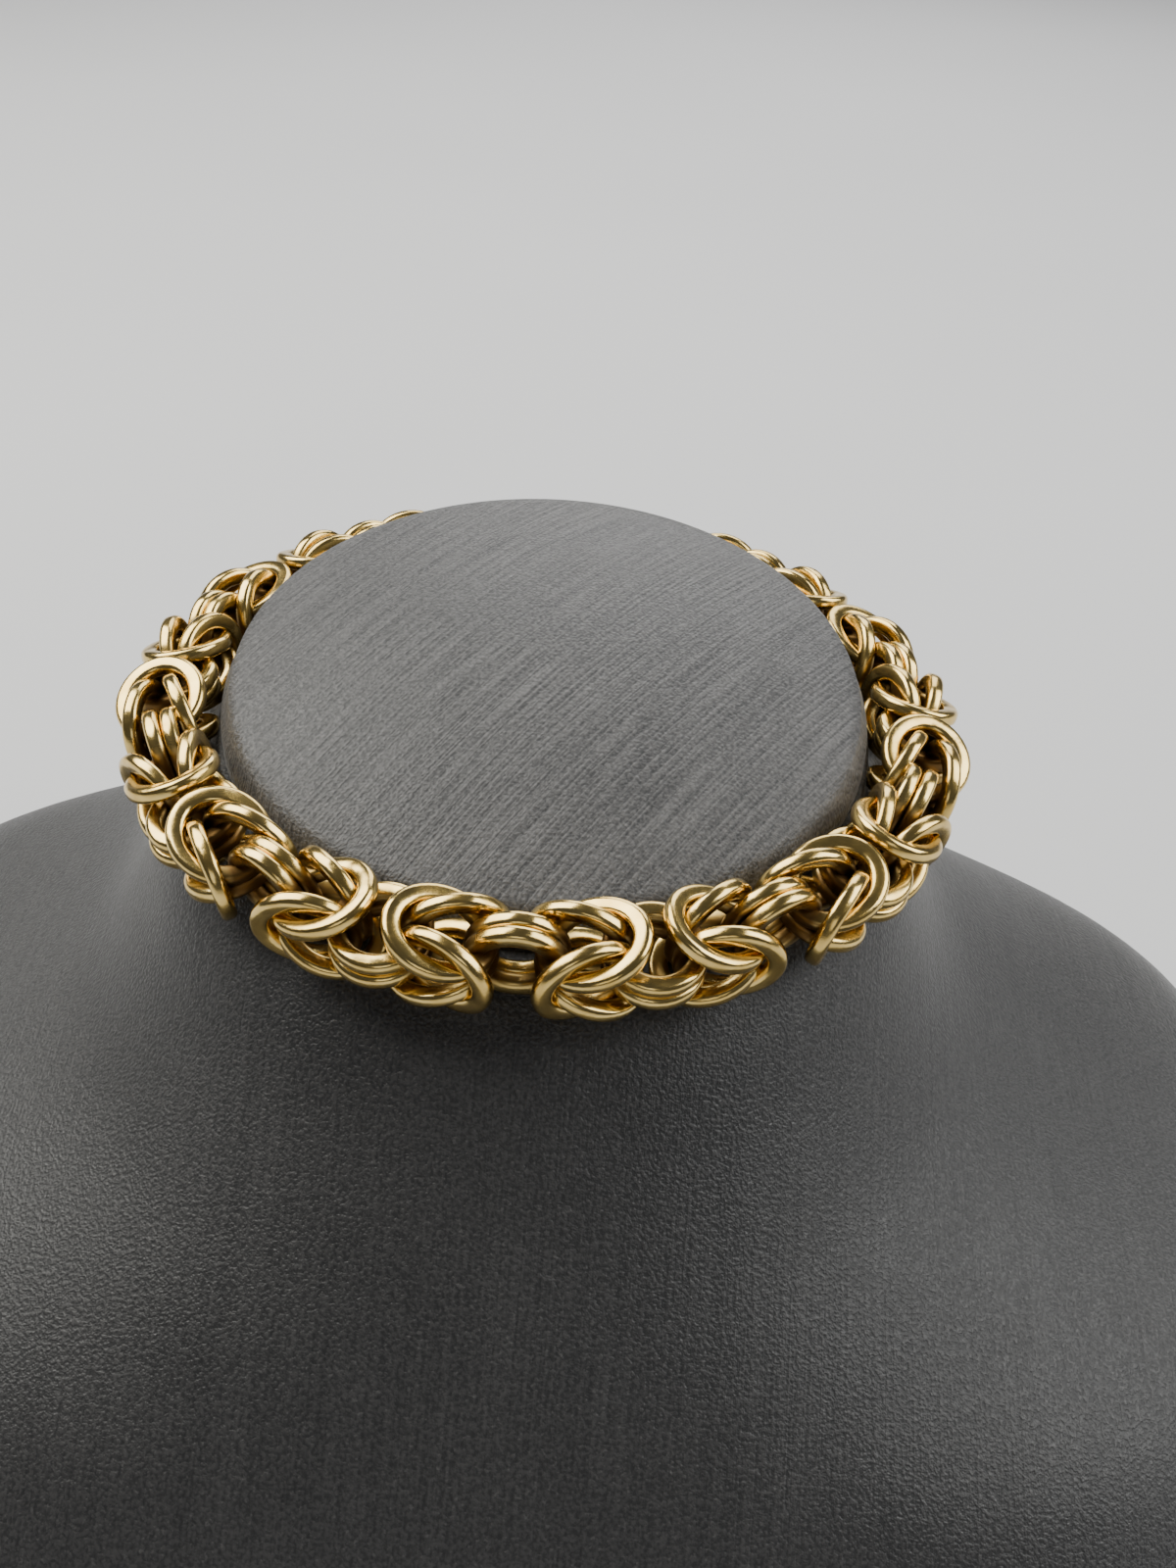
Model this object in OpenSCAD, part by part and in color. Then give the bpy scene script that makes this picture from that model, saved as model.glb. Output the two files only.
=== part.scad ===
// Byzantine chain closed round the neck of a display bust covered in leatherette.
// Millimetres, Z up, the front of the bust faces -Y, origin in the middle of the base.
// The weave: pairs of links stand straight on the chain's line, one pair every pitch,
// turned a quarter from the pair before. Each straight pair holds two spread pairs,
// one on each side. A spread pair is folded back round the next pair's own spread pair,
// so its far ends stand open on the outside of the next straight pair.

/* [Chain] */
// Diameter of the wire that the links are bent from
wire_d = 1.85; // [1.5:0.05:2]
// Inner diameter of a link over its wire
link_ratio = 6; // [5.9:0.05:6.6]
// Number of knots round the loop, an even number
knots = 20; // [18:2:24]
// Turn of the whole loop round the neck, in degrees
loop_turn = 2; // [-20:0.5:20]

/* [Clasp] */
// Diameter of the clasp's barrel
clasp_d = 9; // [7:0.5:10]
// Diameter of the wire of the clasp's two eyes
eye_wire_d = 2; // [1.5:0.1:2.4]
// Gap between an eye and the links that it holds
eye_gap = 0.4; // [0.2:0.05:0.6]

/* [Bust] */
// Gap between the neck and the links round it
neck_gap = 0.3; // [0.2:0.05:0.8]
// Height of the neck's flat top above the chain's centre line, at the neck's middle
neck_rise = 0.6; // [0.2:0.1:3]
// Slant of the neck's top and the cap on it, lower at the front, in degrees
cap_tilt = 7.5; // [4:0.5:8]
// Height of the cap's edge, from its flat underside to the start of its dome
cap_edge_h = 6.5; // [4:0.5:8]
// Rise of the cap's dome above its edge
cap_dome_h = 8; // [4:0.5:12]
// Radius of the rounding between the cap's edge and its dome
cap_round_r = 3; // [2:0.25:3.5]
// How far the cap's edge stands in from the neck's side
cap_inset = 1; // [1:0.25:4]
// Width of the bust across the shoulders
bust_w = 290; // [260:1:310]
// Reach of the chest in front of the neck's middle line
chest_reach = 135; // [120:1:150]
// Reach of the back behind the neck's middle line
back_reach = 74; // [72:1:90]
// Height of the chain's centre line above the surface that the bust stands on
chain_h = 112; // [105:1:130]

/* [Hidden] */
$fn = 48;

gold = [0.86, 0.68, 0.36];
leatherette = [0.27, 0.26, 0.26];

// The weave as shares of a link's centre-line radius
link_r = (link_ratio + 1) * wire_d / 2;
pitch = 3.12 * link_r;
pair_half = 0.154 * link_r;
pair_slide = -0.038 * link_r;
spread_half = 0.612 * link_r;
spread_at = 1.527 * link_r;
flat_out = 0.05 * link_r;
stand_in = -0.14 * link_r;
reach = 1.23 * link_r + wire_d / 2;
// Its angles: the roll of the flat pairs, and the tilt and lean of the spread pairs
roll = 17;
tilt = 27;
lean = 8.5;

// The loop
loop_r = knots * pitch / (2 * PI);
step = 360 / knots;
spread_turn = spread_at / loop_r * 180 / PI;
back = knots / 2;

// The clasp reaches from the pair before the middle of the back to the pair after it
eye_r = pair_half + wire_d / 2 + eye_gap + eye_wire_d / 2;
clasp_l = 2 * (loop_r * sin(step) - (link_r + eye_r) * cos(step) + eye_wire_d / 4);
clasp_edge = 1.5;

// Place of the loop's centre, with the base's middle at the origin
centre = [0, (chest_reach - back_reach) / 2, chain_h];

// The neck's side is upright above the chain's centre line. Below it, it follows the chain
// at one gap as far as this angle, then slopes out
seat_r = reach + neck_gap;
seat_end = 60;
neck_r = loop_r - seat_r;
foot_r = loop_r - seat_r * cos(seat_end);

// The bust below the neck, one row for each level:
// [depth below the chain's line over chain_h, side, front and back reach over the full
// ones, counted from the foot of the neck, and how square the outline is]
LEVELS = [
    [0.09, 0.030, 0.052, 0.15, 2.00],
    [0.15, 0.060, 0.140, 0.30, 2.05],
    [0.25, 0.110, 0.270, 0.45, 2.10],
    [0.35, 0.190, 0.410, 0.60, 2.20],
    [0.42, 0.300, 0.510, 0.70, 2.30],
    [0.50, 0.500, 0.610, 0.80, 2.50],
    [0.61, 0.840, 0.740, 0.90, 2.80],
    [0.73, 0.980, 0.870, 0.97, 3.00],
    [0.86, 1.000, 0.960, 1.00, 3.20],
    [1.00, 0.985, 1.000, 1.00, 3.30]
];
level_cuts = 3;
around = 72;

// One closed round link, flat in XY
module link(radius = link_r, wire = wire_d) {
    rotate_extrude() translate([radius, 0]) circle(d = wire);
}

// Places its child on the chain's line at a count of pitches and a turn more,
// with X along the line, Y away from the neck and Z up
module on_line(k, turn = 0) {
    rotate([0, 0, loop_turn - k * step - turn])
        translate([0, -loop_r, 0])
            rotate([0, 0, 180]) children();
}

// Turn of a pair round the line and its shift away from the neck
function pair_turn(k) = -(roll + (k % 2 == 0 ? 90 : 0));
function pair_shift(k) = k % 2 == 0 ? stand_in : flat_out;

// Two links side by side on the line
module straight_pair(k) {
    on_line(k) translate([0, pair_shift(k), 0])
        for (half = [0, 180])
            rotate([pair_turn(k) + half, 0, 0])
                translate([0, pair_slide, pair_half]) link();
}

// The two links that a straight pair holds on one side, spread at their far ends
module spread_pair(k, side) {
    on_line(k, side * spread_turn)
        for (half = [0, 180])
            rotate([pair_turn(k) + half - 90 + lean, 0, 0])
                translate([0, 0, spread_half]) rotate([0, -side * tilt, 0]) link();
}

// The chain: every pair but those whose place the clasp takes
module chain() {
    color(gold) translate(centre)
        for (k = [0 : knots - 1]) if (k != back) {
            straight_pair(k);
            if (k != back - 1) spread_pair(k, 1);
            if (k != back + 1) spread_pair(k, -1);
        }
}

// The clasp: a closed barrel with an eye at each end, round the last pair's two links
module clasp() {
    color(gold) translate(centre) {
        on_line(back) translate([0, pair_shift(back - 1), 0]) rotate([0, 90, 0])
            rotate_extrude() polygon([
                [0, -clasp_l / 2],
                [clasp_d / 2 - clasp_edge, -clasp_l / 2],
                [clasp_d / 2, -clasp_l / 2 + clasp_edge],
                [clasp_d / 2, clasp_l / 2 - clasp_edge],
                [clasp_d / 2 - clasp_edge, clasp_l / 2],
                [0, clasp_l / 2]
            ]);
        for (side = [-1, 1])
            on_line(back + side) translate([-side * link_r, pair_shift(back + side), 0])
                rotate([pair_turn(back + side) + 90, 0, 0]) link(eye_r, eye_wire_d);
    }
}

// The cap on the neck's flat, slanted top
module neck_cap() {
    edge_r = neck_r - cap_inset;
    dome_r = (pow(edge_r, 2) + pow(cap_dome_h, 2)) / (2 * cap_dome_h);
    dome_end = asin((edge_r - cap_round_r * 0.6) / dome_r);
    color(leatherette) translate(centre + [0, 0, neck_rise]) rotate([cap_tilt, 0, 0])
        rotate_extrude($fn = 96) polygon([
            [0, 0],
            [edge_r - 1, 0],
            [edge_r, 1],
            [edge_r, cap_edge_h - cap_round_r * 0.4],
            for (i = [1 : 4])
                [edge_r - 0.6 * cap_round_r * (1 - cos(i * 15)),
                 cap_edge_h - cap_round_r * 0.4 + 0.6 * cap_round_r * sin(i * 15)],
            for (i = [0 : 12]) let (a = dome_end * (1 - i / 12))
                [dome_r * sin(a), cap_edge_h + cap_dome_h - dome_r * (1 - cos(a))]
        ]);
}

// Smooth curve through four values, between the second and the third
function between(a, b, c, d, t) =
    0.5 * (2 * b + (c - a) * t + (2 * a - 5 * b + 4 * c - d) * t * t
        + (3 * b - a - 3 * c + d) * t * t * t);

// The neck's points, a ring for each share of the way from its slanted top to its foot,
// after a first ring that rounds the top's edge
foot_z = -seat_r * sin(seat_end);
edge_round = 0.8;
neck_cuts = 7;
function top_z(y) = neck_rise + y * tan(cap_tilt);
function side_r(z) = loop_r - sqrt(pow(seat_r, 2) - pow(min(z, 0), 2));
function ring_point(r, share, i, drop) = let (
        a = i * 360 / around, top = top_z(neck_r * sin(a)) - drop, z = top + share * (foot_z - top)
    ) [(side_r(z) - r) * cos(a), (side_r(z) - r) * sin(a), z];
function neck_point(row, i) = row == 0
    ? let (p = ring_point(edge_round, 0, i, 0)) centre + [p[0], p[1], top_z(p[1])]
    : centre + ring_point(0, (row - 1) / neck_cuts, i, edge_round);

// Every section of the bust below its neck: [height, side, front, back, squareness]
foot = [-foot_z / chain_h, 0, 0, 0, 2];
rows = concat([foot], LEVELS);
function row(i) = rows[max(0, min(len(rows) - 1, i))];
function full(column) = [bust_w / 2, chest_reach, back_reach][column - 1];
function section(i, t) = let (
        v = [for (c = [0 : 4]) between(row(i - 1)[c], row(i)[c], row(i + 1)[c], row(i + 2)[c], t)]
    ) [
        -v[0] * chain_h,
        for (c = [1 : 3]) foot_r + v[c] * (full(c) - foot_r),
        max(2, v[4])
    ];
body_sections = [
    for (i = [0 : len(rows) - 2], j = [1 : level_cuts]) section(i, j / level_cuts)
];

// One point of a section: an outline between a circle and a rounded rectangle
function signed_power(v, e) = sign(v) * pow(abs(v), e);
function outline_point(s, i) = let (
        a = i * 360 / around, e = 2 / s[4], y = signed_power(sin(a), e)
    ) centre + [s[1] * signed_power(cos(a), e), y * (y < 0 ? s[2] : s[3]), s[0]];

// The bust: neck, shoulders, chest and back down to a flat base
module bust_body() {
    last = neck_cuts + 1 + len(body_sections);
    color(leatherette) polyhedron(
        points = [
            for (row = [0 : neck_cuts + 1], i = [0 : around - 1]) neck_point(row, i),
            for (s = body_sections, i = [0 : around - 1]) outline_point(s, i)
        ],
        faces = [
            [for (i = [around - 1 : -1 : 0]) i],
            for (s = [0 : last - 1], i = [0 : around - 1]) let (
                a = s * around + i, b = s * around + (i + 1) % around
            ) [a, b, b + around, a + around],
            [for (i = [0 : around - 1]) last * around + i]
        ]
    );
}

bust_body();
neck_cap();
chain();
clasp();
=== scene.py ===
"""Looks of a byzantine chain closed round the neck of a display bust covered in leatherette.

The chain's links are laid out by the same weave as the solid model's. They are dressed as flattened,
polished wire, and a plain barrel clasp closes them at the back. The bust and its domed cap are smooth
skins over their solids. Sizes are millimetres until a mesh is made, and metres in the scene.
"""

import logging
import math
from dataclasses import dataclass, replace
from enum import Enum
from typing import Any, Sequence

import bpy
import numpy as np
from mathutils import Matrix, Vector


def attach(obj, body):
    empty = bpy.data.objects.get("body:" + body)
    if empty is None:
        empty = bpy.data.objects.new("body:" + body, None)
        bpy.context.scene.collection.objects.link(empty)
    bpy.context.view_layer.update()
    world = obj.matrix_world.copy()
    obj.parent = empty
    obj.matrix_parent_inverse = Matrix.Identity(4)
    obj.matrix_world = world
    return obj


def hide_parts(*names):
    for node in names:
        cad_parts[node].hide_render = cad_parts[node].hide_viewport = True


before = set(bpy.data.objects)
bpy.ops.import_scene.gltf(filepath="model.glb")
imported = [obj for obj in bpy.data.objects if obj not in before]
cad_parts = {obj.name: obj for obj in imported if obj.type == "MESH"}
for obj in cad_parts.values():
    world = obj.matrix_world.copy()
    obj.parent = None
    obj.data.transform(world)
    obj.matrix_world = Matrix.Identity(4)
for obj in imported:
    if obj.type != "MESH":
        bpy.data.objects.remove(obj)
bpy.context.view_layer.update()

LOG = logging.getLogger("byzantine_chain")
MM = 0.001
# Squareness of a round outline
ROUND = 2.0

Triple = tuple[float, float, float]
Skin = tuple[np.ndarray, list[list[int]]]


class Grain(Enum):
    """How the leatherette's grooves lie on a piece."""

    ACROSS_CAP = "across_cap"
    DOWN_CHEST = "down_chest"


class Lay(Enum):
    """How a link lies in the weave."""

    STRAIGHT = 0
    SPREAD_ROUND_STANDING = 1
    SPREAD_ROUND_FLAT = 2


def turned(axis: str, degrees: float) -> np.ndarray:
    """Rotation about one axis.

    Args:
        axis: "X", "Y" or "Z".
        degrees: right-handed angle.

    Returns:
        A 3 by 3 matrix.
    """
    return np.array(Matrix.Rotation(math.radians(degrees), 3, axis))


def round_angles(count: int) -> np.ndarray:
    """Even angles once round, in radians."""
    return np.linspace(0, 2 * math.pi, count, endpoint=False)


def in_scene(name: str, data: bpy.types.ID) -> bpy.types.Object:
    """Makes an object and links it to the scene.

    Args:
        name: the object's name.
        data: its mesh, lamp or camera.

    Returns:
        The object, at the origin.
    """
    made = bpy.data.objects.new(name, data)
    bpy.context.scene.collection.objects.link(made)
    return made


class Wire:
    """A node's output, on which Python's operators add Math nodes."""

    def __init__(self, graph: "Graph", socket: bpy.types.NodeSocket) -> None:
        """Keeps the graph that new nodes go to and the socket that holds the value."""
        self.graph = graph
        self.socket = socket

    def _math(self, operation: str, *values: Any) -> "Wire":
        """Adds a Math node.

        Args:
            operation: the node's operation.
            values: its inputs, wires or numbers.

        Returns:
            The node's result.
        """
        return self.graph.add("ShaderNodeMath", {"operation": operation}, dict(enumerate(values)))

    def __add__(self, other: Any) -> "Wire":
        """Sum."""
        return self._math("ADD", self, other)

    def __radd__(self, other: Any) -> "Wire":
        """Sum with a number on the left."""
        return self._math("ADD", other, self)

    def __sub__(self, other: Any) -> "Wire":
        """Difference."""
        return self._math("SUBTRACT", self, other)

    def __rsub__(self, other: Any) -> "Wire":
        """Difference from a number."""
        return self._math("SUBTRACT", other, self)

    def __mul__(self, other: Any) -> "Wire":
        """Product."""
        return self._math("MULTIPLY", self, other)

    def __rmul__(self, other: Any) -> "Wire":
        """Product with a number on the left."""
        return self._math("MULTIPLY", other, self)

    def __pow__(self, other: Any) -> "Wire":
        """Power."""
        return self._math("POWER", self, other)

    def __rpow__(self, other: Any) -> "Wire":
        """Power of a number."""
        return self._math("POWER", other, self)

    def held(self, low: float, high: float) -> "Wire":
        """Maps a range onto 0 to 1, held at its ends.

        Args:
            low: value that becomes 0.
            high: value that becomes 1.

        Returns:
            The mapped value.
        """
        values = {"Value": self, "From Min": low, "From Max": high}
        return self.graph.add("ShaderNodeMapRange", {"clamp": True}, values)


class Graph:
    """A node tree under construction."""

    def __init__(self, tree: bpy.types.NodeTree) -> None:
        """Keeps the tree that nodes go to."""
        self.tree = tree

    def add(
        self, kind: str, settings: dict[str, Any], inputs: dict[Any, Any], out: int | str = 0
    ) -> Wire:
        """Adds any node.

        Args:
            kind: the node's type.
            settings: attributes set first.
            inputs: values or wires by socket name or index.
            out: which output to hand on.

        Returns:
            The chosen output.
        """
        node = self.tree.nodes.new(kind)
        for key, value in settings.items():
            setattr(node, key, value)
        for key, value in inputs.items():
            if isinstance(value, Wire):
                self.tree.links.new(value.socket, node.inputs[key])
            else:
                node.inputs[key].default_value = value
        return Wire(self, node.outputs[out])

    def join(self, parts: Sequence[Wire]) -> Wire:
        """Joins several geometries into one.

        Args:
            parts: their wires, in order.

        Returns:
            The joined geometry.
        """
        joined = self.add("GeometryNodeJoinGeometry", {}, {})
        for part in parts:
            self.tree.links.new(part.socket, joined.socket.node.inputs[0])
        return joined


class Shader(Graph):
    """One material under construction."""

    def __init__(self, name: str) -> None:
        """Starts an empty node material.

        Args:
            name: the material's name.
        """
        self.material = bpy.data.materials.new(name)
        self.material.use_nodes = True
        super().__init__(self.material.node_tree)
        self.tree.nodes.clear()
        self.output = self.tree.nodes.new("ShaderNodeOutputMaterial")

    def place(self) -> Wire:
        """Object coordinates, in metres."""
        return self.add("ShaderNodeTexCoord", {}, {}, "Object")

    def along(self, direction: Triple) -> Wire:
        """Distance along a direction of the object's own space.

        Args:
            direction: the direction, of about unit length.

        Returns:
            The distance in metres.
        """
        inputs = {0: self.place(), 1: direction}
        return self.add("ShaderNodeVectorMath", {"operation": "DOT_PRODUCT"}, inputs, "Value")

    def noise(self, scale: float, detail: float, stretch: Triple = (1.0, 1.0, 1.0)) -> Wire:
        """Soft noise over the object.

        Args:
            scale: bumps per metre.
            detail: octaves.
            stretch: factor on each axis.

        Returns:
            Noise between 0 and 1.
        """
        lie = self.add("ShaderNodeMapping", {}, {"Vector": self.place(), "Scale": stretch})
        return self.noise_at(lie, scale, detail)

    def noise_at(self, lie: Wire, scale: float, detail: float) -> Wire:
        """Soft noise at given coordinates.

        Args:
            lie: the coordinates.
            scale: bumps per unit of them.
            detail: octaves.

        Returns:
            Noise between 0 and 1.
        """
        inputs = {"Vector": lie, "Scale": scale, "Detail": detail}
        return self.add("ShaderNodeTexNoise", {}, inputs)

    def cells(self, scale: float, smooth: bool = False) -> Wire:
        """Distance to the nearest of many scattered points.

        Args:
            scale: points per metre.
            smooth: whether the cells run into one another.

        Returns:
            The distance, about 0 to 1.
        """
        feature = {"feature": "SMOOTH_F1" if smooth else "F1"}
        inputs = {"Vector": self.place(), "Scale": scale}
        return self.add("ShaderNodeTexVoronoi", feature, inputs, "Distance")

    def between(self, factor: Wire, a: Wire | Triple, b: Wire | Triple) -> Wire:
        """Mix of two colours.

        Args:
            factor: share of the second.
            a: first colour.
            b: second colour.

        Returns:
            The mixed colour.
        """
        a, b = (c if isinstance(c, Wire) else (*c, 1) for c in (a, b))
        # A Mix node's colours are its inputs 6 and 7 and its output 2
        inputs = {0: factor, 6: a, 7: b}
        return self.add("ShaderNodeMix", {"data_type": "RGBA"}, inputs, 2)

    def bump(self, height: Wire, depth: float, strength: float, under: Wire | None = None) -> Wire:
        """A bump.

        Args:
            height: its height, 0 to 1.
            depth: millimetres between height 0 and 1.
            strength: share of it.
            under: another bump below it.

        Returns:
            The normal.
        """
        inputs = {"Height": height, "Distance": depth * MM, "Strength": strength}
        if under is not None:
            inputs["Normal"] = under
        return self.add("ShaderNodeBump", {}, inputs)

    def finish(self, inputs: dict[str, Any]) -> bpy.types.Material:
        """Closes the material with a Principled shader.

        Args:
            inputs: its sockets' values or wires.

        Returns:
            The finished material.
        """
        shader = self.add("ShaderNodeBsdfPrincipled", {}, inputs)
        self.tree.links.new(shader.socket, self.output.inputs["Surface"])
        return self.material


@dataclass(frozen=True)
class PolishedGold:
    """Yellow gold, filed flat and polished by hand, dull deep inside the weave and darkened there by
    painted shade and grime.

    Each count is per metre. The painted shade and grime are full from the chain's line out to a share
    of their reach, and gone at the end of that reach.
    """

    centre: Triple
    loop_r: float
    bright: Triple = (0.86, 0.63, 0.23)
    deep: Triple = (0.66, 0.44, 0.12)
    deep_share: float = 0.75
    shade_and_grime: Triple = (0.16, 0.09, 0.03)
    shade_and_grime_to: float = 6.4
    full_shade_and_grime: float = 0.62
    patch_count: float = 260.0
    facet_count: float = 300.0
    facet_depth: float = 0.35
    scratch_count: float = 900.0
    scratch_depth: float = 0.03
    bump: float = 0.35
    roughness: float = 0.15
    patch_roughness: float = 0.09
    scratch_roughness: float = 0.05
    grime_roughness: float = 0.25

    def _from_line(self, s: Shader) -> Wire:
        """Distance of a point from the chain's line.

        Args:
            s: the shader that needs it.

        Returns:
            The distance in metres.
        """
        middle = tuple(c * MM for c in self.centre)
        away = s.add("ShaderNodeVectorMath", {"operation": "SUBTRACT"}, {0: s.place(), 1: middle})
        x, y, z = (s.add("ShaderNodeSeparateXYZ", {}, {0: away}, i) for i in range(3))
        out = (x * x + y * y) ** 0.5 - self.loop_r * MM
        return (out * out + z * z) ** 0.5

    def build(self, name: str, shaded_and_grimy: bool) -> bpy.types.Material:
        """Makes the material.

        Args:
            name: its name.
            shaded_and_grimy: whether painted shade and grime darken it near the chain's line.

        Returns:
            The finished material.
        """
        s = Shader(name)
        patches = s.noise(self.patch_count, detail=2).held(0.35, 0.7)
        facets = s.cells(self.facet_count, smooth=True)
        scratches = s.noise(self.scratch_count, detail=3, stretch=(1.0, 1.0, 6.0))
        rough = self.roughness + patches * self.patch_roughness
        rough = rough + scratches.held(0.5, 0.8) * self.scratch_roughness
        colour = s.between(patches * self.deep_share, self.bright, self.deep)
        if shaded_and_grimy:
            # Painted shade, with grime: the colour goes dark brown deep inside the weave, where
            # little light reaches, and the roughness rises there
            full, none = self.shade_and_grime_to * self.full_shade_and_grime * MM, self.shade_and_grime_to * MM
            shade_and_grime_share = 1 - self._from_line(s).held(full, none)
            rough = rough + shade_and_grime_share * self.grime_roughness
            colour = s.between(shade_and_grime_share, colour, self.shade_and_grime)
        filed = s.bump(facets, self.facet_depth, self.bump)
        worn = s.bump(scratches, self.scratch_depth, self.bump, filed)
        return s.finish({"Base Color": colour, "Metallic": 1.0, "Roughness": rough, "Normal": worn})


@dataclass(frozen=True)
class Leatherette:
    """Dark warm-grey leatherette: a fine grooved grain with pebbles between the grooves.

    Each count is per metre. The shares of grooves, speckles and pebbles make up the grain's height,
    and tone says how much paler the high grain is.
    """

    grain: Grain
    groove_share: float
    speckle_share: float
    tone: float
    dark: Triple = (0.012, 0.012, 0.013)
    pale: Triple = (0.200, 0.193, 0.190)
    cap_angle: float = 148.0
    chest_across: Triple = (1.0, 0.03, 0.0)
    chest_down: Triple = (0.0, 0.5, -0.87)
    groove_count: float = 1900.0
    groove_breaks: float = 40.0
    groove_least: float = 0.45
    patch_count: float = 45.0
    speckle_count: float = 1700.0
    pebble_count: float = 1300.0
    pebble_share: float = 0.12
    painted_glint_count: float = 1500.0
    painted_glint_share: float = 0.16
    grain_depth: float = 0.15
    bump: float = 0.9
    roughness: float = 0.50
    pebble_polish: float = 0.14
    patch_roughness: float = 0.06
    sheen: float = 0.3
    sheen_roughness: float = 0.35

    def _directions(self) -> tuple[Triple, Triple]:
        """Works out how the grooves lie.

        Returns:
            The directions across them and along them.
        """
        if self.grain is Grain.DOWN_CHEST:
            return self.chest_across, self.chest_down
        angle = math.radians(self.cap_angle)
        x, y = math.cos(angle), math.sin(angle)
        return (x, y, 0.0), (-y, x, 0.0)

    def _grooves(self, s: Shader) -> Wire:
        """Fine broken grooves, long one way and narrow across.

        Args:
            s: the shader that needs them.

        Returns:
            Their height, 0 to 1.
        """
        across, down = self._directions()
        u, v = s.along(across) * self.groove_count, s.along(down) * self.groove_breaks
        lie = s.add("ShaderNodeCombineXYZ", {}, {0: u, 1: v, 2: 0.0})
        return s.noise_at(lie, scale=1.0, detail=1.5).held(0.36, 0.64)

    def build(self) -> bpy.types.Material:
        """Makes the material.

        Returns:
            The finished material.
        """
        s = Shader("leatherette_" + self.grain.value)
        patches = s.noise(self.patch_count, detail=3).held(0.32, 0.62)
        clear = self.groove_least + patches * (1 - self.groove_least)
        grooves = self._grooves(s) * clear * self.groove_share
        speckles = s.noise(self.speckle_count, detail=1).held(0.36, 0.66) * self.speckle_share
        pebbles = 1 - s.cells(self.pebble_count).held(0.05, 0.6)
        height = grooves + speckles + pebbles * self.pebble_share
        # Painted glints: scattered paler flecks in the colour stand in for the sparkle of light on
        # the grain
        painted_glints = s.noise(self.painted_glint_count, detail=1).held(0.64, 0.74)
        tone = height * self.tone + painted_glints * self.painted_glint_share
        rough = self.roughness - pebbles * self.pebble_polish + patches * self.patch_roughness
        return s.finish(
            {
                "Base Color": s.between(tone, self.dark, self.pale),
                "Roughness": rough,
                "Normal": s.bump(height, self.grain_depth, self.bump),
                "Specular IOR Level": 0.5,
                "Sheen Weight": self.sheen,
                "Sheen Roughness": self.sheen_roughness,
            }
        )


@dataclass(frozen=True)
class PaleGround:
    """A plain pale floor with hardly any grain."""

    colour: Triple = (0.62, 0.62, 0.63)
    lighter_by: float = 1.05
    patch_count: float = 3.0
    roughness: float = 0.7

    def build(self) -> bpy.types.Material:
        """Makes the material.

        Returns:
            The finished material.
        """
        s = Shader("pale_ground")
        patches = s.noise(self.patch_count, detail=2).held(0.3, 0.7)
        lighter = tuple(min(1.0, c * self.lighter_by) for c in self.colour)
        colour = s.between(patches, self.colour, lighter)
        return s.finish({"Base Color": colour, "Roughness": self.roughness})


def mesh_object(
    name: str, points: np.ndarray, faces: Sequence[Sequence[int]], finish: bpy.types.Material
) -> bpy.types.Object:
    """Makes a smooth object at the origin.

    Args:
        name: the piece's name.
        points: its points in millimetres.
        faces: its faces, outwards.
        finish: its material.

    Returns:
        The object.
    """
    mesh = bpy.data.meshes.new(name)
    mesh.from_pydata([tuple(p) for p in points * MM], [], [list(f) for f in faces])
    mesh.materials.append(finish)
    mesh.shade_smooth()
    mesh.update()
    return in_scene(name, mesh)


def bridged(rings: Sequence[np.ndarray], closed: bool = False) -> Skin:
    """Joins like rings of points into a skin with its two ends filled.

    Args:
        rings: rings in order, each turning the same way.
        closed: whether the last ring joins the first, with no ends.

    Returns:
        Points and faces.
    """
    count = len(rings[0])
    points = [np.concatenate(rings)]
    pairs = len(rings) if closed else len(rings) - 1
    faces = []
    for row in range(pairs):
        low, high = row * count, (row + 1) % len(rings) * count
        for i in range(count):
            j = (i + 1) % count
            faces.append([low + i, low + j, high + j, high + i])
    if not closed:
        for start, turn in ((0, -1), ((len(rings) - 1) * count, 1)):
            middle = sum(len(p) for p in points)
            points.append(np.mean(points[0][start : start + count], axis=0)[None])
            for i in range(count):
                edge = [start + i, start + (i + 1) % count]
                faces.append([middle, *edge[::turn]])
    return np.concatenate(points), faces


@dataclass(frozen=True)
class Spread:
    """A spread link's size and place, from the straight pair that holds it.

    Its near end lies against the pair's wires and its far end stands open beside the next pair.
    """

    half_length: float
    half_width: float
    near_along: float
    near_out: float = 1.28
    far_out: float = 6.1

    @property
    def tilt(self) -> float:
        """Slope of the link, in degrees."""
        return math.degrees(math.asin((self.far_out - self.near_out) / (2 * self.half_length)))

    @property
    def along(self) -> float:
        """Distance of its middle along the line."""
        return self.near_along + self.half_length * math.cos(math.radians(self.tilt))

    @property
    def out(self) -> float:
        """Distance of its middle from the line."""
        return (self.near_out + self.far_out) / 2


@dataclass(frozen=True)
class Link:
    """One link's turn, middle and lay."""

    turn: np.ndarray
    middle: np.ndarray
    lay: Lay


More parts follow.
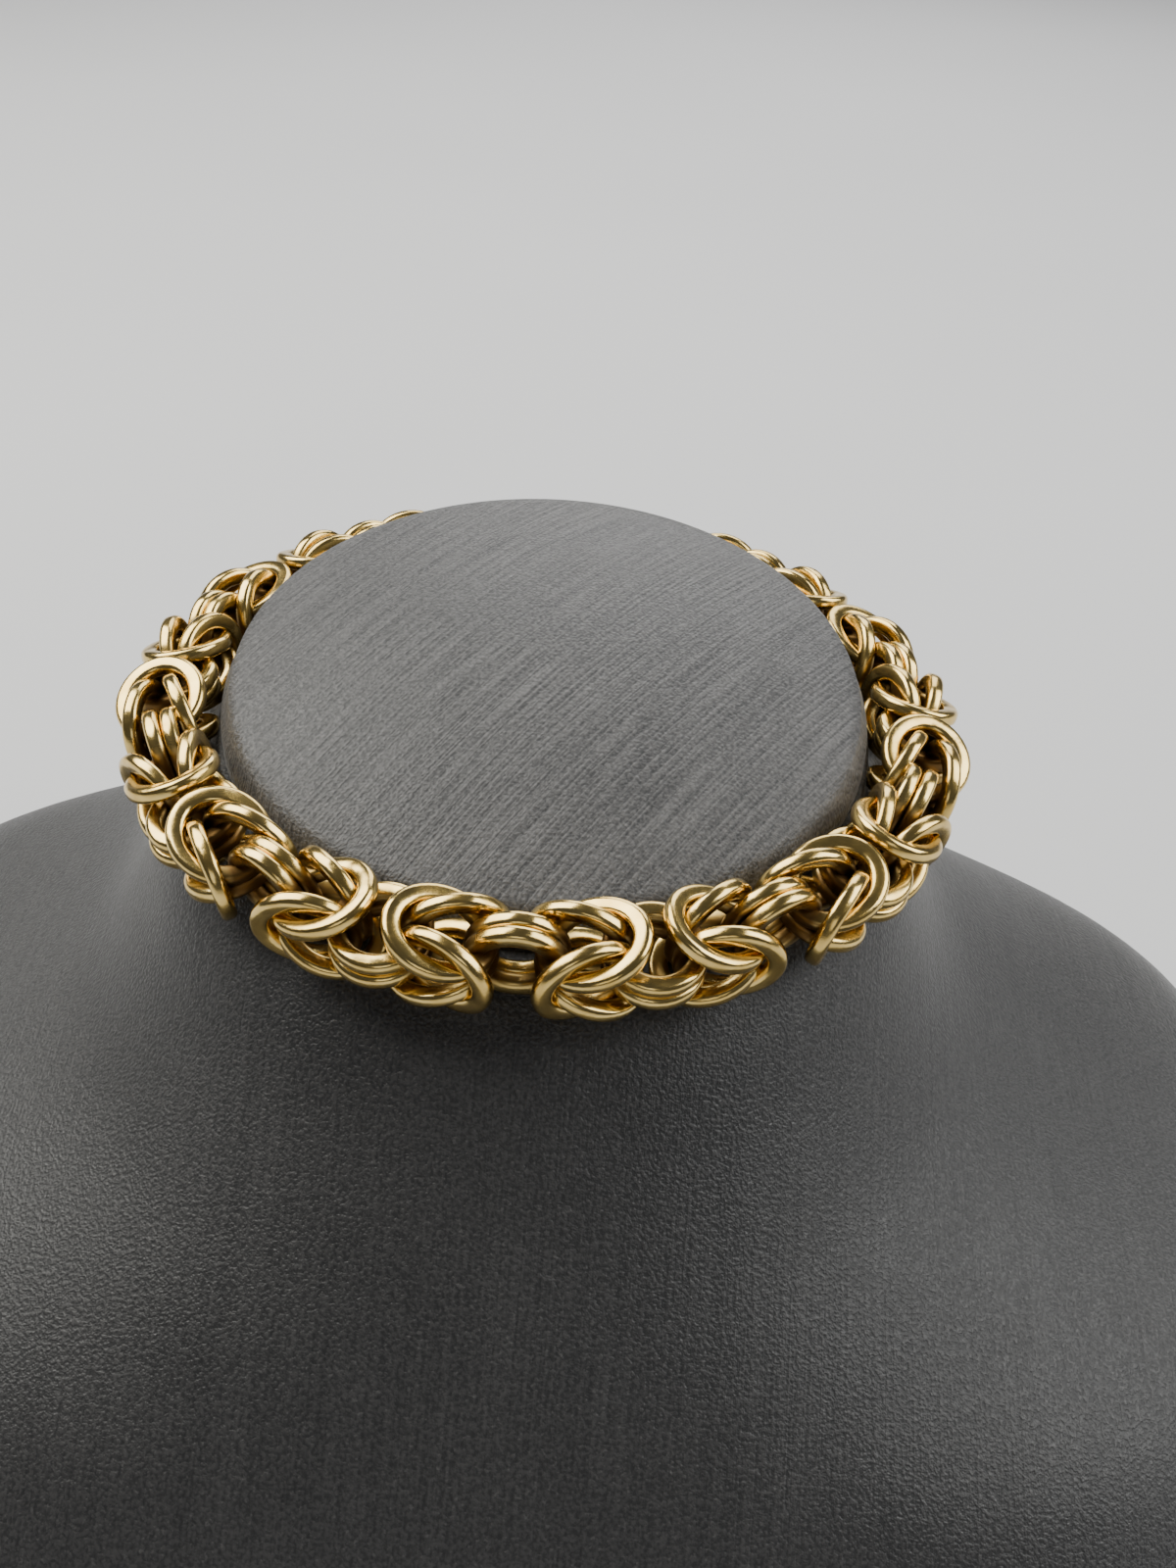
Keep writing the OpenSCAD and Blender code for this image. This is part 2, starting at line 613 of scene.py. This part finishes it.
@dataclass
class Weave:
    """Where every link lies: the solid model's weave, drawn up snug as the worn chain is.

    Its wire, ratio, knots, shares, roll, turn and centre are the solid model's and set the loop. The
    rest place the dressed links. Pairs at odd counts lie flat and are shifted flat_out away from the
    neck, and those at even counts stand upright and are shifted stand_in. In the rear half, from
    slack_from on, the spread links open less.
    """

    wire: float = 1.85
    link_ratio: float = 6.0
    knots: int = 20
    pitch_share: float = 3.12
    reach_share: float = 1.23
    loop_turn: float = 2.0
    roll: float = 17.0
    centre: Triple = (0.0, 30.5, 112.0)
    lean: float = 2.0
    straight_r: float = 6.4
    pair_half: float = 1.35
    pair_slide: float = -0.25
    flat_out: float = 0.3
    stand_in: float = -0.9
    round_standing: Spread = Spread(7.3, 6.35, 4.2)
    round_flat: Spread = Spread(7.0, 6.35, 3.84)
    slack_from: int = 5
    slack_far_out: float = 4.9

    def __post_init__(self) -> None:
        """Works out the loop and its reach from the solid link's radius."""
        self.link_r = (self.link_ratio + 1) * self.wire / 2
        self.loop_r = self.knots * self.pitch_share * self.link_r / (2 * math.pi)
        self.reach = self.reach_share * self.link_r + self.wire / 2
        self.step = 360 / self.knots
        self.back = self.knots // 2

    def shape(self, lay: Lay) -> tuple[float, float]:
        """Size of a link, at its wire's middle.

        Args:
            lay: how the link lies.

        Returns:
            Its half length and half width.
        """
        if lay is Lay.STRAIGHT:
            return self.straight_r, self.straight_r
        spread = self.round_flat if lay is Lay.SPREAD_ROUND_FLAT else self.round_standing
        return spread.half_length, spread.half_width

    def pair_turn(self, k: int) -> float:
        """Turn of the pair at k round the line, in degrees."""
        return -(self.roll + (0 if k % 2 else 90))

    def on_line(self, k: int, more: float = 0.0) -> tuple[np.ndarray, np.ndarray]:
        """The chain's line at a count of pitches.

        Args:
            k: count of pitches from the front.
            more: degrees further on.

        Returns:
            The rotation there, with Y away from the neck, and the point in millimetres.
        """
        round_neck = turned("Z", self.loop_turn - k * self.step - more)
        return round_neck @ turned("Z", 180), round_neck @ [0, -self.loop_r, 0] + self.centre

    def _straight(self, k: int, half: int) -> Link:
        """One link of the pair on the line.

        Args:
            k: count of pitches from the front.
            half: 0 or 180, for the pair's first or second link.

        Returns:
            The link.
        """
        round_line = turned("X", self.pair_turn(k) + half)
        lie, at = self.on_line(k)
        shift = np.array([0, self.flat_out if k % 2 else self.stand_in, 0])
        slide = round_line @ [0, self.pair_slide, self.pair_half]
        return Link(lie @ round_line, at + lie @ (slide + shift), Lay.STRAIGHT)

    def _spread(self, k: int, half: int, side: int) -> Link:
        """One link of a spread pair.

        Args:
            k: count of pitches to the straight pair that holds it.
            half: 0 or 180, for the pair's first or second link.
            side: 1 for the pair further on round the loop, and -1 for the other.

        Returns:
            The link.
        """
        flat = k % 2 == 1
        spread = self.round_flat if flat else self.round_standing
        if self.slack_from <= k <= self.knots - self.slack_from:
            spread = replace(spread, far_out=self.slack_far_out)
        lie, at = self.on_line(k, side * math.degrees(spread.along / self.loop_r))
        turn = lie @ turned("X", self.pair_turn(k) + half - 90 + self.lean)
        lay = Lay.SPREAD_ROUND_FLAT if flat else Lay.SPREAD_ROUND_STANDING
        return Link(turn @ turned("Y", -side * spread.tilt), at + turn @ [0, 0, spread.out], lay)

    def links(self) -> list[Link]:
        """Lays out the links.

        Returns:
            Every link but those whose place the clasp takes.
        """
        found = []
        for k in range(self.knots):
            if k == self.back:
                continue
            for half in (0, 180):
                found.append(self._straight(k, half))
                found += [self._spread(k, half, side) for side in (-1, 1) if k + side != self.back]
        return found


@dataclass
class Chain:
    """The chain's links, one mesh made by Geometry Nodes from the weave's points.

    The wire is band wide and thick through, with rounded corners. Each link settles by a small
    random turn about each axis, in radians.
    """

    weave: Weave
    gold: bpy.types.Material
    band: float = 3.0
    thick: float = 2.6
    rounding: float = 0.9
    corner_cuts: int = 3
    sides: int = 40
    settle: float = 0.02
    seed: int = 7

    def _points(self) -> bpy.types.Object:
        """Makes one point for each link.

        Returns:
            The points, with each link's turn as Euler angles and its lay's number.
        """
        links = self.weave.links()
        mesh = bpy.data.meshes.new("link_points")
        mesh.from_pydata([tuple(link.middle * MM) for link in links], [], [])
        angles = [angle for link in links for angle in Matrix(link.turn.tolist()).to_euler()]
        mesh.attributes.new("turn", "FLOAT_VECTOR", "POINT").data.foreach_set("vector", angles)
        lays = [link.lay.value for link in links]
        mesh.attributes.new("lay", "INT", "POINT").data.foreach_set("value", lays)
        return in_scene("link_points", mesh)

    def _inputs(self) -> dict[str, tuple[str, Any]]:
        """The node group's named inputs.

        Returns:
            The socket type and the value of each.
        """
        found: dict[str, tuple[str, Any]] = {}
        for lay in Lay:
            length, width = self.weave.shape(lay)
            found[lay.name + "_LENGTH"] = ("NodeSocketFloat", length * MM)
            found[lay.name + "_WIDTH"] = ("NodeSocketFloat", width * MM)
        found["Band"] = ("NodeSocketFloat", self.band * MM)
        found["Thick"] = ("NodeSocketFloat", self.thick * MM)
        found["Rounding"] = ("NodeSocketFloat", self.rounding * MM)
        found["Settle"] = ("NodeSocketFloat", self.settle)
        found["Sides"] = ("NodeSocketInt", self.sides)
        found["Seed"] = ("NodeSocketInt", self.seed)
        found["Gold"] = ("NodeSocketMaterial", self.gold)
        return found

    def _section(self, graph: Graph, given: dict[str, Wire]) -> Wire:
        """Adds the wire's section, a rectangle with rounded corners.

        Args:
            graph: the node group under construction.
            given: the node group's inputs by name.

        Returns:
            The section's curve.
        """
        box = graph.add(
            "GeometryNodeCurvePrimitiveQuadrilateral",
            {"mode": "RECTANGLE"},
            {"Width": given["Band"], "Height": given["Thick"]},
        )
        corners = {"Count": self.corner_cuts, "Radius": given["Rounding"], "Limit Radius": True}
        return graph.add("GeometryNodeFilletCurve", {"mode": "POLY"}, {"Curve": box, **corners})

    def _rotation(self, graph: Graph, given: dict[str, Wire]) -> Wire:
        """Adds each point's rotation: the weave's turn and the link's own settling.

        Args:
            graph: the node group under construction.
            given: the node group's inputs by name.

        Returns:
            The rotation.
        """
        most = given["Settle"]
        least = 0.0 - most
        low = graph.add("ShaderNodeCombineXYZ", {}, {i: least for i in range(3)})
        high = graph.add("ShaderNodeCombineXYZ", {}, {i: most for i in range(3)})
        vectors = {"data_type": "FLOAT_VECTOR"}
        ends = {0: low, 1: high, "Seed": given["Seed"]}
        shake = graph.add("FunctionNodeRandomValue", vectors, ends)
        turn = graph.add("GeometryNodeInputNamedAttribute", vectors, {"Name": "turn"})
        euler = graph.add("ShaderNodeVectorMath", {"operation": "ADD"}, {0: turn, 1: shake})
        return graph.add("FunctionNodeEulerToRotation", {}, {0: euler})

    def _tree(self) -> bpy.types.NodeTree:
        """Makes the node group that bends wire into links and lays one at each point.

        Returns:
            The node group.
        """
        tree = bpy.data.node_groups.new("links_on_points", "GeometryNodeTree")
        face = tree.interface
        face.new_socket("Geometry", in_out="INPUT", socket_type="NodeSocketGeometry")
        for name, (kind, _) in self._inputs().items():
            face.new_socket(name, in_out="INPUT", socket_type=kind)
        face.new_socket("Geometry", in_out="OUTPUT", socket_type="NodeSocketGeometry")
        graph = Graph(tree)
        sockets = tree.nodes.new("NodeGroupInput").outputs
        given = {socket.name: Wire(graph, socket) for socket in sockets}
        ring = {"Resolution": given["Sides"], "Radius": 1.0}
        circle = graph.add("GeometryNodeCurvePrimitiveCircle", {}, ring)
        section, rotation = self._section(graph, given), self._rotation(graph, given)
        integer = {"data_type": "INT"}
        lay_number = graph.add("GeometryNodeInputNamedAttribute", integer, {"Name": "lay"})
        laid = []
        for lay in Lay:
            size = {0: given[lay.name + "_LENGTH"], 1: given[lay.name + "_WIDTH"], 2: 1.0}
            scale = graph.add("ShaderNodeCombineXYZ", {}, size)
            oval = graph.add("GeometryNodeTransform", {}, {"Geometry": circle, "Scale": scale})
            level = graph.add("GeometryNodeSetCurveNormal", {"mode": "Z_UP"}, {"Curve": oval})
            bent = {"Curve": level, "Profile Curve": section}
            link = graph.add("GeometryNodeCurveToMesh", {}, bent)
            # A Compare node's whole numbers are its inputs 2 and 3
            equal, pair = {**integer, "operation": "EQUAL"}, {2: lay_number, 3: lay.value}
            chosen = graph.add("FunctionNodeCompare", equal, pair)
            where = {"Points": given["Geometry"], "Selection": chosen}
            what = {"Instance": link, "Rotation": rotation}
            laid.append(graph.add("GeometryNodeInstanceOnPoints", {}, {**where, **what}))
        real = graph.add("GeometryNodeRealizeInstances", {}, {"Geometry": graph.join(laid)})
        smooth = {"Geometry": real, "Shade Smooth": True}
        shaded = graph.add("GeometryNodeSetShadeSmooth", {}, smooth)
        finish = {"Geometry": shaded, "Material": given["Gold"]}
        dressed = graph.add("GeometryNodeSetMaterial", {}, finish)
        tree.links.new(dressed.socket, tree.nodes.new("NodeGroupOutput").inputs[0])
        return tree

    def build(self) -> bpy.types.Object:
        """Makes the links' mesh.

        Returns:
            The chain's piece, at the origin.
        """
        points, tree = self._points(), self._tree()
        modifier = points.modifiers.new("links", "NODES")
        modifier.node_group = tree
        values = self._inputs()
        for item in tree.interface.items_tree:
            if item.in_out == "INPUT" and item.name in values:
                modifier[item.identifier] = values[item.name][1]
        bpy.context.view_layer.update()
        ready = points.evaluated_get(bpy.context.evaluated_depsgraph_get())
        mesh = bpy.data.meshes.new_from_object(ready)
        mesh.name = "chain_links"
        mesh.materials.clear()
        mesh.materials.append(self.gold)
        mesh.polygons.foreach_set("material_index", [0] * len(mesh.polygons))
        bpy.data.objects.remove(points)
        return in_scene("chain_links", mesh)


@dataclass
class Clasp:
    """The plain barrel behind the neck, with an eye at each end round the last pair's links.

    The barrel's length comes from the solid clasp's eyes, and the eyes are drawn a little larger, to
    pass round the dressed links. It stands link_out away from the neck, as the solid one does. The
    groove is (place along the barrel, depth) at each point.
    """

    weave: Weave
    gold: bpy.types.Material
    barrel_d: float = 9.0
    edge: float = 1.5
    edge_angles: tuple[float, ...] = (12, 30, 50, 70, 90)
    groove: tuple[tuple[float, float], ...] = (
        (-0.5, 0.0), (-0.3, 0.25), (0.0, 0.32), (0.3, 0.25), (0.5, 0.0)
    )
    end_lip: float = 0.1
    eye_wire: float = 2.0
    solid_eye_r: float = 3.322
    eye_r: float = 3.6
    eye_sides: int = 16
    link_out: float = 0.324
    around: int = 48

    def _barrel(self) -> Skin:
        """The barrel's skin, along X from its middle.

        Returns:
            Points and faces.
        """
        w, angle = self.weave, math.radians(self.weave.step)
        reach = w.loop_r * math.sin(angle) - (w.link_r + self.solid_eye_r) * math.cos(angle)
        half, r = reach + self.eye_wire / 4, self.barrel_d / 2
        flat = r - self.edge
        end = [(0.0, flat), (self.end_lip, flat)]
        for a in np.radians(self.edge_angles):
            end.append((self.edge * (1 - math.cos(a)), flat + self.edge * math.sin(a)))
        left = [(x - half, y) for x, y in end]
        groove = [(x, r - depth) for x, depth in self.groove]
        rings = []
        for x, y in left + groove + [(-x, y) for x, y in left[::-1]]:
            rings.append(
                np.array([[x, -y * math.sin(a), y * math.cos(a)] for a in round_angles(self.around)])
            )
        return bridged(rings)

    def _eye(self) -> Skin:
        """An eye's skin, flat in XY.

        Returns:
            Points and faces.
        """
        section, wire_r = round_angles(self.eye_sides), self.eye_wire / 2
        out, up = self.eye_r + wire_r * np.cos(section), wire_r * np.sin(section)
        rings = [
            np.stack([out * math.cos(a), out * math.sin(a), up], 1)[::-1]
            for a in round_angles(self.around)
        ]
        return bridged(rings, closed=True)

    def build(self) -> bpy.types.Object:
        """Makes the clasp's mesh.

        Returns:
            The clasp's piece, at the origin.
        """
        w = self.weave
        lie, at = w.on_line(w.back)
        parts = [(self._barrel(), lie, at + lie @ [0, self.link_out, 0])]
        for side in (-1, 1):
            lie, at = w.on_line(w.back + side)
            turn = lie @ turned("X", w.pair_turn(w.back + side) + 90)
            parts.append((self._eye(), turn, at + lie @ [-side * w.link_r, self.link_out, 0]))
        points, faces, start = [], [], 0
        for (own_points, own_faces), turn, at in parts:
            points.append(own_points @ turn.T + at)
            faces += [[start + i for i in face] for face in own_faces]
            start += len(own_points)
        return mesh_object("clasp_barrel", np.concatenate(points), faces, self.gold)


def smooth_between(rows: Sequence[np.ndarray], t: float) -> np.ndarray:
    """Smooth curve through four rows of values.

    Args:
        rows: the four rows.
        t: share of the way from the second to the third.

    Returns:
        The values there.
    """
    a, b, c, d = rows
    square, cube = 2 * a - 5 * b + 4 * c - d, 3 * b - a - 3 * c + d
    return 0.5 * (2 * b + (c - a) * t + square * t**2 + cube * t**3)


@dataclass
class Bust:
    """The bust's skin: a round neck that slopes out into shoulders, chest and back.

    Its neck stands a millimetre further out than the solid's, close under the snug links, so
    neck_gap is below zero. Each level is its depth below the chain's line over the line's height,
    its side, front and back reach as shares of the full ones, and how square its outline is.
    """

    weave: Weave
    leatherette: bpy.types.Material
    neck_gap: float = -0.7
    neck_rise: float = 0.6
    slant: float = 8.5
    seat_end: float = 60.0
    under_cap: tuple[float, float] = (4.0, 1.4)
    edge_round: float = 0.8
    edge_angles: tuple[float, ...] = (0, 22, 45, 68)
    neck_rings: int = 18
    width: float = 290.0
    chest: float = 135.0
    back: float = 74.0
    base_round: float = 2.0
    base_angles: tuple[float, ...] = (0, 30, 60, 90)
    around: int = 216
    cuts: int = 7
    levels: tuple[tuple[float, ...], ...] = (
        (0.09, 0.030, 0.052, 0.15, 2.00),
        (0.15, 0.060, 0.140, 0.30, 2.05),
        (0.25, 0.110, 0.270, 0.45, 2.10),
        (0.35, 0.190, 0.410, 0.60, 2.20),
        (0.42, 0.300, 0.510, 0.70, 2.30),
        (0.50, 0.500, 0.610, 0.80, 2.50),
        (0.61, 0.840, 0.740, 0.90, 2.80),
        (0.73, 0.980, 0.870, 0.97, 3.00),
        (0.86, 1.000, 0.960, 1.00, 3.20),
        (1.00, 0.985, 1.000, 1.00, 3.30),
    )

    def __post_init__(self) -> None:
        """Works out the neck's radius from the chain round it."""
        end, loop_r = math.radians(self.seat_end), self.weave.loop_r
        self.seat_r = self.weave.reach + self.neck_gap
        self.neck_r = loop_r - self.seat_r
        self.foot_r = loop_r - self.seat_r * math.cos(end)
        self.foot_z = -self.seat_r * math.sin(end)

    def _neck_ring(self, share: float, inset: float = 0.0, drop: float = 0.0) -> np.ndarray:
        """A ring of the neck's side, which follows the chain's round section below its middle.

        Args:
            share: share of the way from the slanted top to the foot.
            inset: how far the ring stands in.
            drop: how far the top is lowered first.

        Returns:
            Its points in millimetres.
        """
        a = round_angles(self.around)
        slope = math.tan(math.radians(self.slant))
        top = self.neck_rise - drop + (self.neck_r - inset) * slope * np.sin(a)
        z = top + share * (self.foot_z - top)
        r = self.weave.loop_r - np.sqrt(self.seat_r**2 - np.minimum(z, 0) ** 2) - inset
        return np.stack([r * np.cos(a), r * np.sin(a), z], 1) + self.weave.centre

    def _neck(self) -> list[np.ndarray]:
        """Works out the neck's rings.

        Returns:
            The rings, from under the cap over the rounded edge and down to the foot.
        """
        e = self.edge_round
        rings = [self._neck_ring(0, inset) for inset in self.under_cap]
        for a in np.radians(self.edge_angles):
            rings.append(self._neck_ring(0, e * (1 - math.sin(a)), e * (1 - math.cos(a))))
        shares = np.linspace(0, 1, self.neck_rings)
        return rings + [self._neck_ring(share, 0.0, e) for share in shares]

    def _sections(self) -> list[tuple[float, float, float, float, float]]:
        """Works out every level below the neck.

        Returns:
            The height, side, front, back and squareness of each.
        """
        found = []
        height = self.weave.centre[2]
        rows = [(-self.foot_z / height, 0.0, 0.0, 0.0, ROUND), *self.levels]
        last = len(rows) - 1
        full = (self.width / 2, self.chest, self.back)
        for i in range(last):
            near = [np.array(rows[max(0, min(last, i + o))]) for o in (-1, 0, 1, 2)]
            for j in range(1, self.cuts + 1):
                v = smooth_between(near, j / self.cuts)
                reach = [self.foot_r + s * (f - self.foot_r) for s, f in zip(v[1:4], full)]
                found.append((-v[0] * height, *reach, max(ROUND, v[4])))
        return found

    def _outline(self, section: Sequence[float], inset: float = 0.0) -> np.ndarray:
        """One level's outline, between a circle and a rounded rectangle.

        Args:
            section: its height, side, front, back and squareness.
            inset: how far it stands in.

        Returns:
            Its points in millimetres.
        """
        height, side, front, back, square = section
        a = round_angles(self.around)
        x = np.sign(np.cos(a)) * np.abs(np.cos(a)) ** (2 / square) * (side - inset)
        y = np.sign(np.sin(a)) * np.abs(np.sin(a)) ** (2 / square)
        y = y * (np.where(y < 0, front, back) - inset)
        return np.stack([x, y, np.full_like(x, height)], 1) + self.weave.centre

    def build(self) -> bpy.types.Object:
        """Makes the bust's skin, turned under at its base.

        Returns:
            The body's piece, at the origin.
        """
        *sections, low = self._sections()
        rings = self._neck() + [self._outline(s) for s in sections]
        for a in np.radians(self.base_angles):
            up, inset = self.base_round * (1 - math.sin(a)), self.base_round * (1 - math.cos(a))
            rings.append(self._outline((low[0] + up, *low[1:]), inset))
        return mesh_object("bust_skin", *bridged(rings[::-1]), self.leatherette)


@dataclass
class Cap:
    """The domed cap on the neck's slanted top, its edge rolled over and under.

    The side is (how far it stands in, height) at each point between the rolled foot and the dome.
    """

    bust: Bust
    leatherette: bpy.types.Material
    inset: float = 0.8
    edge_h: float = 7.5
    dome_h: float = 8.0
    under: float = 1.6
    foot_round: float = 1.2
    foot_angles: tuple[float, ...] = (20, 45, 70, 90)
    side: tuple[tuple[float, float], ...] = ((0.0, 2.4), (0.05, 3.4), (0.3, 4.3), (0.85, 5.1))
    shoulder: float = 1.8
    dome_rings: int = 28
    around: int = 180

    def _profile(self) -> list[tuple[float, float]]:
        """Works out the cap's profile, from its underside to near the middle of its dome.

        Returns:
            The radius and height of each point.
        """
        r, foot, top = self.bust.neck_r - self.inset, self.foot_round, self.edge_h + self.dome_h
        dome_r = (r**2 + self.dome_h**2) / (2 * self.dome_h)
        found = [(r - self.under, 0.0)]
        for a in np.radians(self.foot_angles):
            found.append((r - foot * (1 - math.sin(a)), foot * (1 - math.cos(a))))
        found += [(r - inset, z) for inset, z in self.side]
        end = math.asin((r - self.shoulder) / dome_r)
        for i in range(self.dome_rings):
            a = end * (1 - i / self.dome_rings)
            found.append((dome_r * math.sin(a), top - dome_r * (1 - math.cos(a))))
        return found

    def build(self) -> bpy.types.Object:
        """Makes the cap's skin.

        Returns:
            The cap's piece, at the origin.
        """
        slant = turned("X", self.bust.slant)
        stand = self.bust.weave.centre + np.array([0, 0, self.bust.neck_rise])
        angles = round_angles(self.around)
        rings = [
            np.array([[d * math.cos(a), d * math.sin(a), z] for a in angles]) @ slant.T + stand
            for d, z in self._profile()
        ]
        return mesh_object("cap_skin", *bridged(rings), self.leatherette)


@dataclass(frozen=True)
class Lamp:
    """A square lamp that faces the chain's middle, with its place and width in metres."""

    name: str
    at: Triple
    width: float
    watts: float
    colour: Triple


@dataclass
class Studio:
    """Floor, lamps, and the camera at the photograph's angle.

    The camera's stand is its place from the chain's middle. Its pitch is down and its yaw to the
    right, and its roll stands for the sideways slope of the chain in the photograph.
    """

    weave: Weave
    ground: bpy.types.Material
    floor_half: float = 3000.0
    frame_px: float = 1200.0
    focal_px: float = 1832.0
    sensor: float = 36.0
    nearest: float = 0.01
    stand: Triple = (18.80, -261.66, 169.72)
    pitch: float = 34.94
    yaw: float = -2.325
    roll: float = 4.2
    room_colour: Triple = (0.30, 0.31, 0.33)
    room_light: float = 0.25
    lamps: tuple[Lamp, ...] = (
        Lamp("key", (-0.65, 0.30, 0.90), 0.90, 17.0, (1.0, 0.99, 0.93)),
        Lamp("fill", (0.90, 0.15, 0.85), 0.90, 13.0, (0.99, 1.0, 0.98)),
        Lamp("front", (0.05, -1.20, 0.70), 0.60, 1.2, (1.0, 0.99, 0.95)),
        Lamp("rear", (0.10, 1.20, 0.80), 0.90, 9.0, (1.0, 1.0, 1.0)),
    )

    def build(self) -> None:
        """Makes the floor, the lamps, the room's light and the camera."""
        signs = ((-1, -1, 0), (1, -1, 0), (1, 1, 0), (-1, 1, 0))
        corners = self.floor_half * np.array(signs)
        mesh_object("pale_floor", corners, [[0, 1, 2, 3]], self.ground)
        for lamp in self.lamps:
            self._light(lamp)
        world = bpy.data.worlds.new("room")
        world.use_nodes = True
        inputs = world.node_tree.nodes["Background"].inputs
        inputs["Color"].default_value = (*self.room_colour, 1)
        inputs["Strength"].default_value = self.room_light
        bpy.context.scene.world = world
        self._camera()

    def _light(self, lamp: Lamp) -> None:
        """Makes one lamp.

        Args:
            lamp: its name, place, width, power and colour.
        """
        light = bpy.data.lights.new(lamp.name, "AREA")
        light.shape, light.size = "SQUARE", lamp.width
        light.energy, light.color = lamp.watts, lamp.colour
        made = in_scene(lamp.name, light)
        made.location = lamp.at
        away = Vector(lamp.at) - Vector(self.weave.centre) * MM
        made.rotation_euler = away.to_track_quat("Z", "Y").to_euler()

    def _camera(self) -> None:
        """Makes the camera, its focal length in pixels of the photograph's width."""
        p, y, r = (math.radians(v) for v in (self.pitch, self.yaw, self.roll))
        ahead = Vector((math.sin(y) * math.cos(p), math.cos(y) * math.cos(p), -math.sin(p)))
        right = Vector((math.cos(y), -math.sin(y), 0))
        up = right.cross(ahead)
        x_axis = math.cos(r) * right + math.sin(r) * up
        y_axis = -math.sin(r) * right + math.cos(r) * up
        camera = bpy.data.cameras.new("camera")
        camera.sensor_fit, camera.sensor_width = "HORIZONTAL", self.sensor
        camera.lens = self.focal_px / self.frame_px * self.sensor
        camera.clip_start = self.nearest
        lie = Matrix((x_axis, y_axis, -ahead)).transposed().to_4x4()
        at = (Vector(self.stand) + Vector(self.weave.centre)) * MM
        made = in_scene("camera", camera)
        made.matrix_world = Matrix.Translation(at) @ lie
        bpy.context.scene.camera = made


def main() -> None:
    """Builds the pieces in order, dresses them and sets them on the frame."""
    logging.basicConfig(level=logging.INFO, format="%(name)s: %(message)s")
    weave = Weave()
    gold = PolishedGold(weave.centre, weave.loop_r)
    link_gold, clasp_gold = gold.build("gold_links", True), gold.build("gold_clasp", False)
    # The chest's copy has a much lower tone than the cap's. This is painted shade, darkening the
    # chest against the lit cap. The lie of the grooves and the shares of the grain are each
    # covering's own.
    chest = Leatherette(Grain.DOWN_CHEST, groove_share=0.28, speckle_share=0.57, tone=0.24)
    top = Leatherette(Grain.ACROSS_CAP, groove_share=0.55, speckle_share=0.45, tone=0.60)
    bust = Bust(weave, chest.build())
    pieces = [
        (bust.build(), "bust_body", "leatherette"),
        (Cap(bust, top.build()).build(), "neck_cap", "leatherette"),
        (Chain(weave, link_gold).build(), "chain", "gold"),
        (Clasp(weave, clasp_gold).build(), "clasp", "gold"),
    ]
    for piece, node, slot in pieces:
        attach(piece, "root")
        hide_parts(node)
        triangles = sum(len(f.vertices) - 2 for f in piece.data.polygons)
        LOG.info("%s stands for %s with %d triangles", piece.name, node, triangles)
    Studio(weave, PaleGround().build()).build()


if __name__ == "__main__":
    main()
